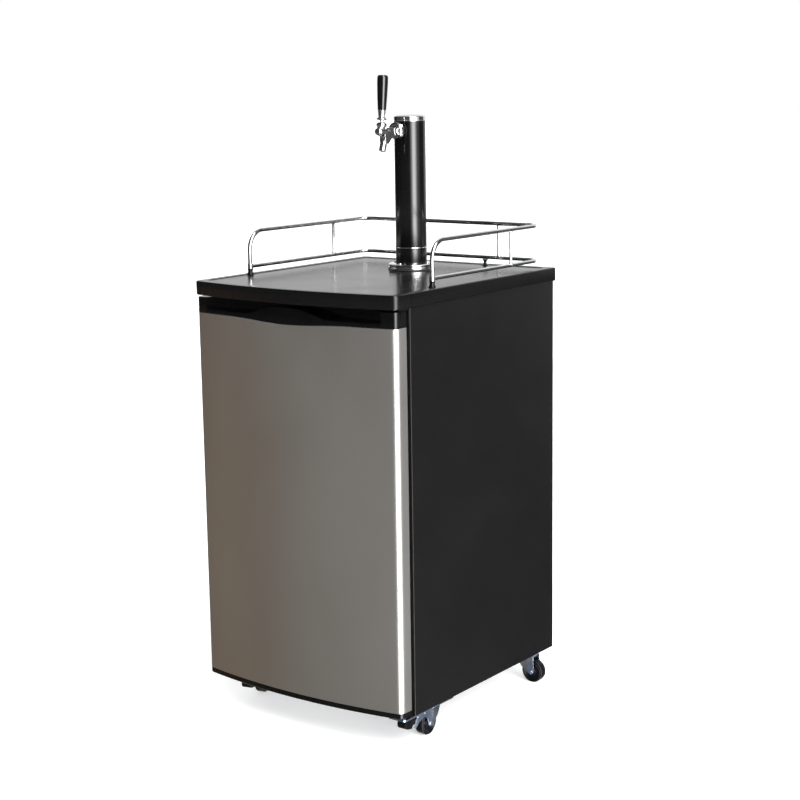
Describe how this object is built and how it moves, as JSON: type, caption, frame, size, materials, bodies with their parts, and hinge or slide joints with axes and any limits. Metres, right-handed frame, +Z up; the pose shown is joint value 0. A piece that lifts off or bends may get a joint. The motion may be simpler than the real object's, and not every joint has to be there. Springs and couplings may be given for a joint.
{
  "type": "kegerator with tap tower",
  "caption": "Free-standing beer cooler on casters, with a hinged door, a worktop inside a guard rail and a tap tower whose faucet lever moves a plunger.",
  "frame": {"origin": "on the floor under the middle of the bounding box", "axes": "+Z up, the door and the faucet face -Y, the door's hinge is at +X"},
  "size_m": [0.532, 0.605, 1.3319],
  "materials": {
    "brushed_stainless": "brushed stainless sheet",
    "black_gloss_plastic": "gloss black moulding",
    "black_painted_steel": "satin black paint",
    "black_worktop": "satin black moulding with a fine grain",
    "chrome": "polished chrome plate",
    "zinc_steel": "blue-bright zinc plate",
    "tower_black": "gloss black powder coat",
    "handle_black": "gloss black",
    "black_rubber": "soft black rubber",
    "wheel_black": "black nylon",
    "white_liner": "white vacuum-formed plastic",
    "aluminium": "mill finish",
    "galvanised_steel": "galvanised",
    "clear_tubing": "clear flexible tubing"
  },
  "bodies": {
    "cabinet": {"base_plate": "galvanised_steel", "beer_line": "clear_tubing", "cabinet_shell": "black_painted_steel", "caster_plate_front_left": "zinc_steel", "caster_plate_front_right": "zinc_steel", "caster_plate_rear_left": "zinc_steel", "caster_plate_rear_right": "zinc_steel", "compressor": "black_painted_steel", "coupling_nut": "chrome", "evaporator_plate": "aluminium", "faucet_body": "chrome", "faucet_bonnet": "chrome", "faucet_front_plug": "chrome", "flange_screw_1": "chrome", "flange_screw_2": "chrome", "flange_screw_3": "chrome", "flange_screw_4": "chrome", "guard_rail": "chrome", "hinge_bracket_bottom": "zinc_steel", "hinge_bracket_top": "black_painted_steel", "insulated_liner": "white_liner", "keg_floor_plate": "galvanised_steel", "rail_foot_front_left": "black_gloss_plastic", "rail_foot_front_right": "black_gloss_plastic", "rail_foot_rear_left": "black_gloss_plastic", "rail_foot_rear_right": "black_gloss_plastic", "rear_cover": "black_painted_steel", "shank": "chrome", "shank_collar": "black_gloss_plastic", "shank_lock_nut": "zinc_steel", "thermostat_housing": "white_liner", "tower_base_flange": "chrome", "tower_cap": "chrome", "tower_column": "tower_black", "tower_gasket": "black_rubber", "tower_lower_sleeve": "tower_black", "tower_trim_ring": "chrome", "worktop": "black_worktop"},
    "door": {"door_skin": "brushed_stainless", "door_inner_panel": "white_liner", "door_handle_cap": "black_gloss_plastic", "door_bottom_trim": "black_gloss_plastic", "door_gasket": "black_rubber"},
    "lever": {"faucet_lever": "chrome", "lever_collar": "chrome", "handle_ferrule": "chrome", "tap_handle": "handle_black"},
    "plunger": {"faucet_plunger": "chrome", "plunger_seal": "black_rubber"},
    "thermostat": {"thermostat_knob": "white_liner"},
    "swivel_front_left": {"caster_fork_front_left": "zinc_steel"},
    "wheel_front_left": {"caster_wheel_front_left": "wheel_black"},
    "swivel_front_right": {"caster_fork_front_right": "zinc_steel"},
    "wheel_front_right": {"caster_wheel_front_right": "wheel_black"},
    "swivel_rear_left": {"caster_fork_rear_left": "zinc_steel"},
    "wheel_rear_left": {"caster_wheel_rear_left": "wheel_black"},
    "swivel_rear_right": {"caster_fork_rear_right": "zinc_steel"},
    "wheel_rear_right": {"caster_wheel_rear_right": "wheel_black"},
    "pedal_front_left": {"brake_pedal_front_left": "wheel_black"},
    "pedal_front_right": {"brake_pedal_front_right": "wheel_black"}
  },
  "joints": [
    {"name": "door_hinge", "type": "hinge", "parent": "cabinet", "child": "door", "pos_m": [0.2455, -0.2515, 0.48], "axis": [0, 0, 1], "range_deg": [0, 110]},
    {"name": "lever_pull", "type": "hinge", "parent": "cabinet", "child": "lever", "pos_m": [0, 0.0325, 1.2297], "axis": [1, 0, 0], "range_deg": [0, 22]},
    {"name": "plunger_slide", "type": "slide", "parent": "cabinet", "child": "plunger", "axis": [0, 1, 0], "range_m": [0, 0.0053]},
    {"name": "thermostat_turn", "type": "hinge", "parent": "cabinet", "child": "thermostat", "pos_m": [0.03, -0.1, 0.828], "axis": [0, 1, 0], "range_deg": [0, 270]},
    {"name": "swivel_front_left", "type": "hinge", "parent": "cabinet", "child": "swivel_front_left", "pos_m": [-0.2235, -0.1245, 0.065], "axis": [0, 0, 1], "continuous": true},
    {"name": "roll_front_left", "type": "hinge", "parent": "swivel_front_left", "child": "wheel_front_left", "pos_m": [-0.21781, -0.14575, 0.0255], "axis": [0.9659, 0.2588, 0], "continuous": true},
    {"name": "swivel_front_right", "type": "hinge", "parent": "cabinet", "child": "swivel_front_right", "pos_m": [0.2235, -0.1245, 0.065], "axis": [0, 0, 1], "continuous": true},
    {"name": "roll_front_right", "type": "hinge", "parent": "swivel_front_right", "child": "wheel_front_right", "pos_m": [0.2235, -0.1465, 0.0255], "axis": [1, 0, 0], "continuous": true},
    {"name": "swivel_rear_left", "type": "hinge", "parent": "cabinet", "child": "swivel_rear_left", "pos_m": [-0.2185, 0.243, 0.065], "axis": [0, 0, 1], "continuous": true},
    {"name": "roll_rear_left", "type": "hinge", "parent": "swivel_rear_left", "child": "wheel_rear_left", "pos_m": [-0.2405, 0.243, 0.0255], "axis": [0, -1, 0], "continuous": true},
    {"name": "swivel_rear_right", "type": "hinge", "parent": "cabinet", "child": "swivel_rear_right", "pos_m": [0.2185, 0.243, 0.065], "axis": [0, 0, 1], "continuous": true},
    {"name": "roll_rear_right", "type": "hinge", "parent": "swivel_rear_right", "child": "wheel_rear_right", "pos_m": [0.2405, 0.243, 0.0255], "axis": [0, 1, 0], "continuous": true},
    {"name": "brake_front_left", "type": "hinge", "parent": "swivel_front_left", "child": "pedal_front_left", "pos_m": [-0.20668, -0.18729, 0.046], "axis": [0.9659, 0.2588, 0], "range_deg": [0, 12]},
    {"name": "brake_front_right", "type": "hinge", "parent": "swivel_front_right", "child": "pedal_front_right", "pos_m": [0.2235, -0.1895, 0.046], "axis": [1, 0, 0], "range_deg": [0, 12]}
  ],
  "couplings": [
    {"joint": "plunger_slide", "follows": "lever_pull", "m_per_rad": 0.0138}
  ]
}
